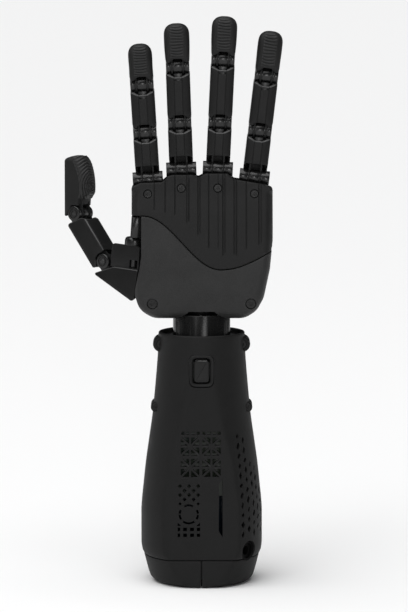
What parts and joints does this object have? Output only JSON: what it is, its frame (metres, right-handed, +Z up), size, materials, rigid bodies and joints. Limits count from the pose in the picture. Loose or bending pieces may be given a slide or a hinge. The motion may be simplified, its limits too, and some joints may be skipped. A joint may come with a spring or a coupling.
{
  "type": "prosthetic hand",
  "caption": "Powered left prosthetic hand, black, with jointed fingers and turning thumb, ribbed palm cover and rotating wrist on a vented forearm housing.",
  "frame": {"origin": "centre of the forearm housing's flat bottom face", "axes": "+Z up along the forearm to the fingertips, palm facing -Y, thumb on -X"},
  "size_m": [0.1363, 0.068, 0.3524],
  "materials": {
    "housing_black": "fine matte grain, black",
    "cover_black": "fine matte grain, black",
    "bone_black": "satin, black",
    "tip_black": "soft matte, black",
    "grip_rubber": "ridged rubber, black",
    "screw_black": "blackened steel",
    "pin_steel": "dark turned steel",
    "motor_metal": "satin",
    "board_green": "solder mask, green",
    "battery_wrap": "shrink wrap, blue",
    "gloss_black": "glossy, black"
  },
  "bodies": {
    "forearm": {"forearm_front_shell": "housing_black", "forearm_back_shell": "housing_black", "base_cap_left": "housing_black", "base_cap_right": "housing_black", "shell_screws": "screw_black", "cap_screws": "screw_black", "wrist_bearing": "gloss_black", "wrist_motor": "motor_metal", "battery_pack": "battery_wrap", "control_board": "board_green", "charge_port": "gloss_black", "button_bezel": "gloss_black"},
    "button": {"power_button": "gloss_black"},
    "hand": {"wrist_shaft": "gloss_black", "palm_frame": "bone_black", "palm_board": "board_green", "upper_palm_cover": "housing_black", "lower_palm_cover": "cover_black", "back_hand_cover": "housing_black", "cover_screws": "screw_black", "palm_bolts": "screw_black", "knuckle_pins": "pin_steel", "thumb_drive": "motor_metal", "index_drive": "motor_metal", "middle_drive": "motor_metal", "ring_drive": "motor_metal", "pinky_drive": "motor_metal"},
    "thumb_base": {"thumb_bracket": "bone_black", "thumb_axle": "pin_steel", "thumb_base_pin": "pin_steel"},
    "thumb_proximal": {"thumb_link": "bone_black", "thumb_tip_pin": "pin_steel"},
    "thumb_distal": {"thumb_tip": "tip_black", "thumb_pad": "grip_rubber"},
    "index_lower": {"index_proximal": "bone_black", "index_pip_pin": "pin_steel"},
    "index_mid": {"index_middle": "bone_black", "index_dip_pin": "pin_steel"},
    "index_end": {"index_tip": "tip_black", "index_pad": "grip_rubber"},
    "middle_lower": {"middle_proximal": "bone_black", "middle_pip_pin": "pin_steel"},
    "middle_mid": {"middle_middle": "bone_black", "middle_dip_pin": "pin_steel"},
    "middle_end": {"middle_tip": "tip_black", "middle_pad": "grip_rubber"},
    "ring_lower": {"ring_proximal": "bone_black", "ring_pip_pin": "pin_steel"},
    "ring_mid": {"ring_middle": "bone_black", "ring_dip_pin": "pin_steel"},
    "ring_end": {"ring_tip": "tip_black", "ring_pad": "grip_rubber"},
    "pinky_lower": {"pinky_proximal": "bone_black", "pinky_pip_pin": "pin_steel"},
    "pinky_mid": {"pinky_middle": "bone_black", "pinky_dip_pin": "pin_steel"},
    "pinky_end": {"pinky_tip": "tip_black", "pinky_pad": "grip_rubber"}
  },
  "joints": [
    {"name": "wrist_rotation", "type": "hinge", "parent": "forearm", "child": "hand", "pos_m": [0, 0, 0.15], "axis": [0, 0, 1], "range_deg": [-90, 90]},
    {"name": "button_press", "type": "slide", "parent": "forearm", "child": "button", "axis": [0, 1, 0], "range_m": [0, 0.0012], "stiffness_N_per_m": 600},
    {"name": "index_knuckle", "type": "hinge", "parent": "hand", "child": "index_lower", "pos_m": [-0.0332, 0, 0.2517], "axis": [0.9981, 0, 0.061], "range_deg": [0, 75]},
    {"name": "index_pip", "type": "hinge", "parent": "index_lower", "child": "index_mid", "pos_m": [-0.035, 0, 0.28114], "axis": [0.9981, 0, 0.061], "range_deg": [0, 86.25]},
    {"name": "index_dip", "type": "hinge", "parent": "index_mid", "child": "index_end", "pos_m": [-0.0368, 0, 0.31059], "axis": [0.9981, 0, 0.061], "range_deg": [0, 37.5]},
    {"name": "middle_knuckle", "type": "hinge", "parent": "hand", "child": "middle_lower", "pos_m": [-0.0125, 0, 0.2576], "axis": [0.9994, 0, 0.0349], "range_deg": [0, 75]},
    {"name": "middle_pip", "type": "hinge", "parent": "middle_lower", "child": "middle_mid", "pos_m": [-0.01353, 0, 0.28708], "axis": [0.9994, 0, 0.0349], "range_deg": [0, 86.25]},
    {"name": "middle_dip", "type": "hinge", "parent": "middle_mid", "child": "middle_end", "pos_m": [-0.01473, 0, 0.32156], "axis": [0.9994, 0, 0.0349], "range_deg": [0, 37.5]},
    {"name": "ring_knuckle", "type": "hinge", "parent": "hand", "child": "ring_lower", "pos_m": [0.01, 0, 0.258], "axis": [0.9989, 0, -0.0471], "range_deg": [0, 75]},
    {"name": "ring_pip", "type": "hinge", "parent": "ring_lower", "child": "ring_mid", "pos_m": [0.01139, 0, 0.28747], "axis": [0.9989, 0, -0.0471], "range_deg": [0, 86.25]},
    {"name": "ring_dip", "type": "hinge", "parent": "ring_mid", "child": "ring_end", "pos_m": [0.0132, 0, 0.32593], "axis": [0.9989, 0, -0.0471], "range_deg": [0, 37.5]},
    {"name": "pinky_knuckle", "type": "hinge", "parent": "hand", "child": "pinky_lower", "pos_m": [0.0326, 0, 0.2529], "axis": [0.9932, 0, -0.1167], "range_deg": [0, 75]},
    {"name": "pinky_pip", "type": "hinge", "parent": "pinky_lower", "child": "pinky_mid", "pos_m": [0.03604, 0, 0.2822], "axis": [0.9932, 0, -0.1167], "range_deg": [0, 86.25]},
    {"name": "pinky_dip", "type": "hinge", "parent": "pinky_mid", "child": "pinky_end", "pos_m": [0.04001, 0, 0.31597], "axis": [0.9932, 0, -0.1167], "range_deg": [0, 37.5]},
    {"name": "thumb_opposition", "type": "hinge", "parent": "hand", "child": "thumb_base", "pos_m": [-0.042, -0.002, 0.205], "axis": [-0.0698, 0, -0.9976], "range_deg": [-90, 0]},
    {"name": "thumb_flexion", "type": "hinge", "parent": "thumb_base", "child": "thumb_proximal", "pos_m": [-0.05785, 0.00923, 0.19989], "axis": [0.5864, 0.809, -0.041], "range_deg": [0, 15]},
    {"name": "thumb_tip_flexion", "type": "hinge", "parent": "thumb_proximal", "child": "thumb_distal", "pos_m": [-0.07607, 0.02388, 0.22844], "axis": [0.5864, 0.809, -0.041], "range_deg": [0, 15]}
  ],
  "couplings": [
    {"joint": "index_pip", "follows": "index_knuckle", "ratio": 1.15},
    {"joint": "index_dip", "follows": "index_knuckle", "ratio": 0.5},
    {"joint": "middle_pip", "follows": "middle_knuckle", "ratio": 1.15},
    {"joint": "middle_dip", "follows": "middle_knuckle", "ratio": 0.5},
    {"joint": "ring_pip", "follows": "ring_knuckle", "ratio": 1.15},
    {"joint": "ring_dip", "follows": "ring_knuckle", "ratio": 0.5},
    {"joint": "pinky_pip", "follows": "pinky_knuckle", "ratio": 1.15},
    {"joint": "pinky_dip", "follows": "pinky_knuckle", "ratio": 0.5},
    {"joint": "thumb_tip_flexion", "follows": "thumb_flexion", "ratio": 1}
  ]
}
